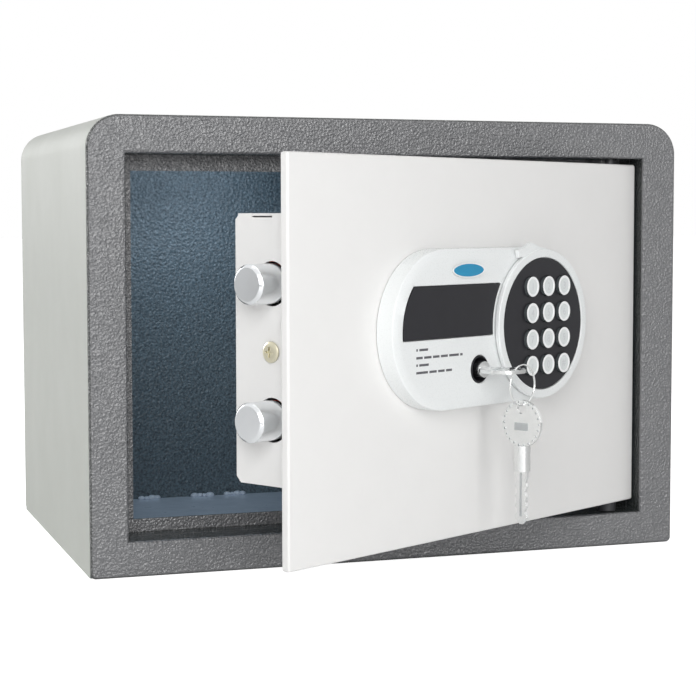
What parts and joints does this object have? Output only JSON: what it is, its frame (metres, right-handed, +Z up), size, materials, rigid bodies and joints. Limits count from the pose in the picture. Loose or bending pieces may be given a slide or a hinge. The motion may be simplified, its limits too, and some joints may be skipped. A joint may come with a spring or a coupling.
{
  "type": "in-room safe",
  "caption": "Small steel in-room safe with a keypad door on concealed hinges, motor bolts, a stop frame inside the opening and an override lock holding keys.",
  "frame": {"origin": "centre of the base on the surface it stands on", "axes": "+Z up, front (door side) towards -Y, +X to the right seen from the front"},
  "size_m": [0.35, 0.3905, 0.25],
  "materials": {
    "frame_paint": "fine leather texture",
    "body_paint": "satin",
    "inside_paint": "speckled",
    "door_paint": "satin powder coat",
    "chrome": "polished",
    "zinc": "yellow passivated",
    "steel": "plain",
    "panel_silver": "silver paint",
    "black_plastic": "satin",
    "badge_blue": "gloss",
    "cap_grey": "satin",
    "nickel": "nickel plated",
    "board_green": "solder mask",
    "cell_blue": "printed sleeve",
    "dark_plastic": "moulded",
    "red_plastic": "moulded",
    "lead_red": "insulation",
    "lead_black": "insulation",
    "lead_yellow": "insulation"
  },
  "bodies": {
    "safe_body": {"front_frame": "frame_paint", "stop_frame": "frame_paint", "body_shell": "body_paint", "floor_panel": "inside_paint", "back_panel": "body_paint", "hinge_block_upper": "steel", "hinge_block_lower": "steel"},
    "door": {"door_plate": "door_paint", "hinge_lug_upper": "door_paint", "hinge_lug_lower": "door_paint", "hinge_pin_upper": "steel", "hinge_pin_lower": "steel", "hinge_spacer": "steel", "bolt_plate": "door_paint", "lock_cover": "door_paint", "gear_motor": "steel", "bolt_guide": "dark_plastic", "side_screw": "zinc", "circuit_board": "board_green", "battery_tray": "dark_plastic", "battery_1": "cell_blue", "battery_2": "cell_blue", "battery_3": "cell_blue", "battery_4": "cell_blue", "lead_red": "lead_red", "lead_black": "lead_black", "lead_yellow": "lead_yellow", "panel_housing": "panel_silver", "panel_face": "panel_silver", "ring_bezel": "panel_silver", "keypad_disc": "black_plastic", "keypad_board": "board_green", "display_window": "black_plastic", "badge": "badge_blue", "keyhole_cup": "black_plastic", "lock_housing": "steel"},
    "bolts": {"bolt_upper": "chrome", "bolt_lower": "chrome", "bolt_carrier": "zinc"},
    "gear": {"drive_gear": "dark_plastic"},
    "lock": {"lock_plug": "nickel", "lock_cam": "zinc", "service_key": "nickel"},
    "ring": {"key_ring": "nickel"},
    "spare": {"spare_key": "nickel"},
    "hatch": {"battery_cover": "door_paint"},
    "reset": {"reset_button": "red_plastic"},
    "pad_1": {"key_1": "cap_grey"},
    "pad_2": {"key_2": "cap_grey"},
    "pad_3": {"key_3": "cap_grey"},
    "pad_4": {"key_4": "cap_grey"},
    "pad_5": {"key_5": "cap_grey"},
    "pad_6": {"key_6": "cap_grey"},
    "pad_7": {"key_7": "cap_grey"},
    "pad_8": {"key_8": "cap_grey"},
    "pad_9": {"key_9": "cap_grey"},
    "pad_star": {"key_star": "cap_grey"},
    "pad_0": {"key_0": "cap_grey"},
    "pad_hash": {"key_hash": "cap_grey"}
  },
  "joints": [
    {"name": "door_hinge", "type": "hinge", "parent": "safe_body", "child": "door", "pos_m": [0.137, -0.1145, 0.126], "axis": [0, 0, 1], "range_deg": [-30, 75]},
    {"name": "bolt_slide", "type": "slide", "parent": "door", "child": "bolts", "axis": [0.866, 0.5, 0], "range_m": [0, 0.009]},
    {"name": "gear_spin", "type": "hinge", "parent": "door", "child": "gear", "pos_m": [-0.05656, -0.21424, 0.132], "axis": [-0.5, 0.866, 0], "range_deg": [0, 57.31]},
    {"name": "key_turn", "type": "hinge", "parent": "door", "child": "lock", "pos_m": [0.00863, -0.20016, 0.1158], "axis": [-0.5, 0.866, 0], "range_deg": [0, 90]},
    {"name": "ring_swing", "type": "hinge", "parent": "lock", "child": "ring", "pos_m": [0.02623, -0.23064, 0.1158], "axis": [-0.5, 0.866, 0], "range_deg": [-90, 0]},
    {"name": "spare_key_swing", "type": "hinge", "parent": "ring", "child": "spare", "pos_m": [0.03221, -0.22719, 0.0977], "axis": [0.866, 0.5, 0], "range_deg": [-10, 25]},
    {"name": "battery_cover_slide", "type": "slide", "parent": "door", "child": "hatch", "axis": [-0.5, 0.866, 0], "range_m": [0, 0.03]},
    {"name": "reset_press", "type": "slide", "parent": "door", "child": "reset", "axis": [0.5, -0.866, 0], "range_m": [0, 0.002], "stiffness_N_per_m": 300},
    {"name": "press_1", "type": "slide", "parent": "door", "child": "pad_1", "axis": [-0.5, 0.866, 0], "range_m": [0, 0.001], "stiffness_N_per_m": 400},
    {"name": "press_2", "type": "slide", "parent": "door", "child": "pad_2", "axis": [-0.5, 0.866, 0], "range_m": [0, 0.001], "stiffness_N_per_m": 400},
    {"name": "press_3", "type": "slide", "parent": "door", "child": "pad_3", "axis": [-0.5, 0.866, 0], "range_m": [0, 0.001], "stiffness_N_per_m": 400},
    {"name": "press_4", "type": "slide", "parent": "door", "child": "pad_4", "axis": [-0.5, 0.866, 0], "range_m": [0, 0.001], "stiffness_N_per_m": 400},
    {"name": "press_5", "type": "slide", "parent": "door", "child": "pad_5", "axis": [-0.5, 0.866, 0], "range_m": [0, 0.001], "stiffness_N_per_m": 400},
    {"name": "press_6", "type": "slide", "parent": "door", "child": "pad_6", "axis": [-0.5, 0.866, 0], "range_m": [0, 0.001], "stiffness_N_per_m": 400},
    {"name": "press_7", "type": "slide", "parent": "door", "child": "pad_7", "axis": [-0.5, 0.866, 0], "range_m": [0, 0.001], "stiffness_N_per_m": 400},
    {"name": "press_8", "type": "slide", "parent": "door", "child": "pad_8", "axis": [-0.5, 0.866, 0], "range_m": [0, 0.001], "stiffness_N_per_m": 400},
    {"name": "press_9", "type": "slide", "parent": "door", "child": "pad_9", "axis": [-0.5, 0.866, 0], "range_m": [0, 0.001], "stiffness_N_per_m": 400},
    {"name": "press_star", "type": "slide", "parent": "door", "child": "pad_star", "axis": [-0.5, 0.866, 0], "range_m": [0, 0.001], "stiffness_N_per_m": 400},
    {"name": "press_0", "type": "slide", "parent": "door", "child": "pad_0", "axis": [-0.5, 0.866, 0], "range_m": [0, 0.001], "stiffness_N_per_m": 400},
    {"name": "press_hash", "type": "slide", "parent": "door", "child": "pad_hash", "axis": [-0.5, 0.866, 0], "range_m": [0, 0.001], "stiffness_N_per_m": 400}
  ],
  "couplings": [
    {"joint": "gear_spin", "follows": "bolt_slide", "rad_per_m": 111.11},
    {"joint": "ring_swing", "follows": "key_turn", "ratio": -1}
  ]
}
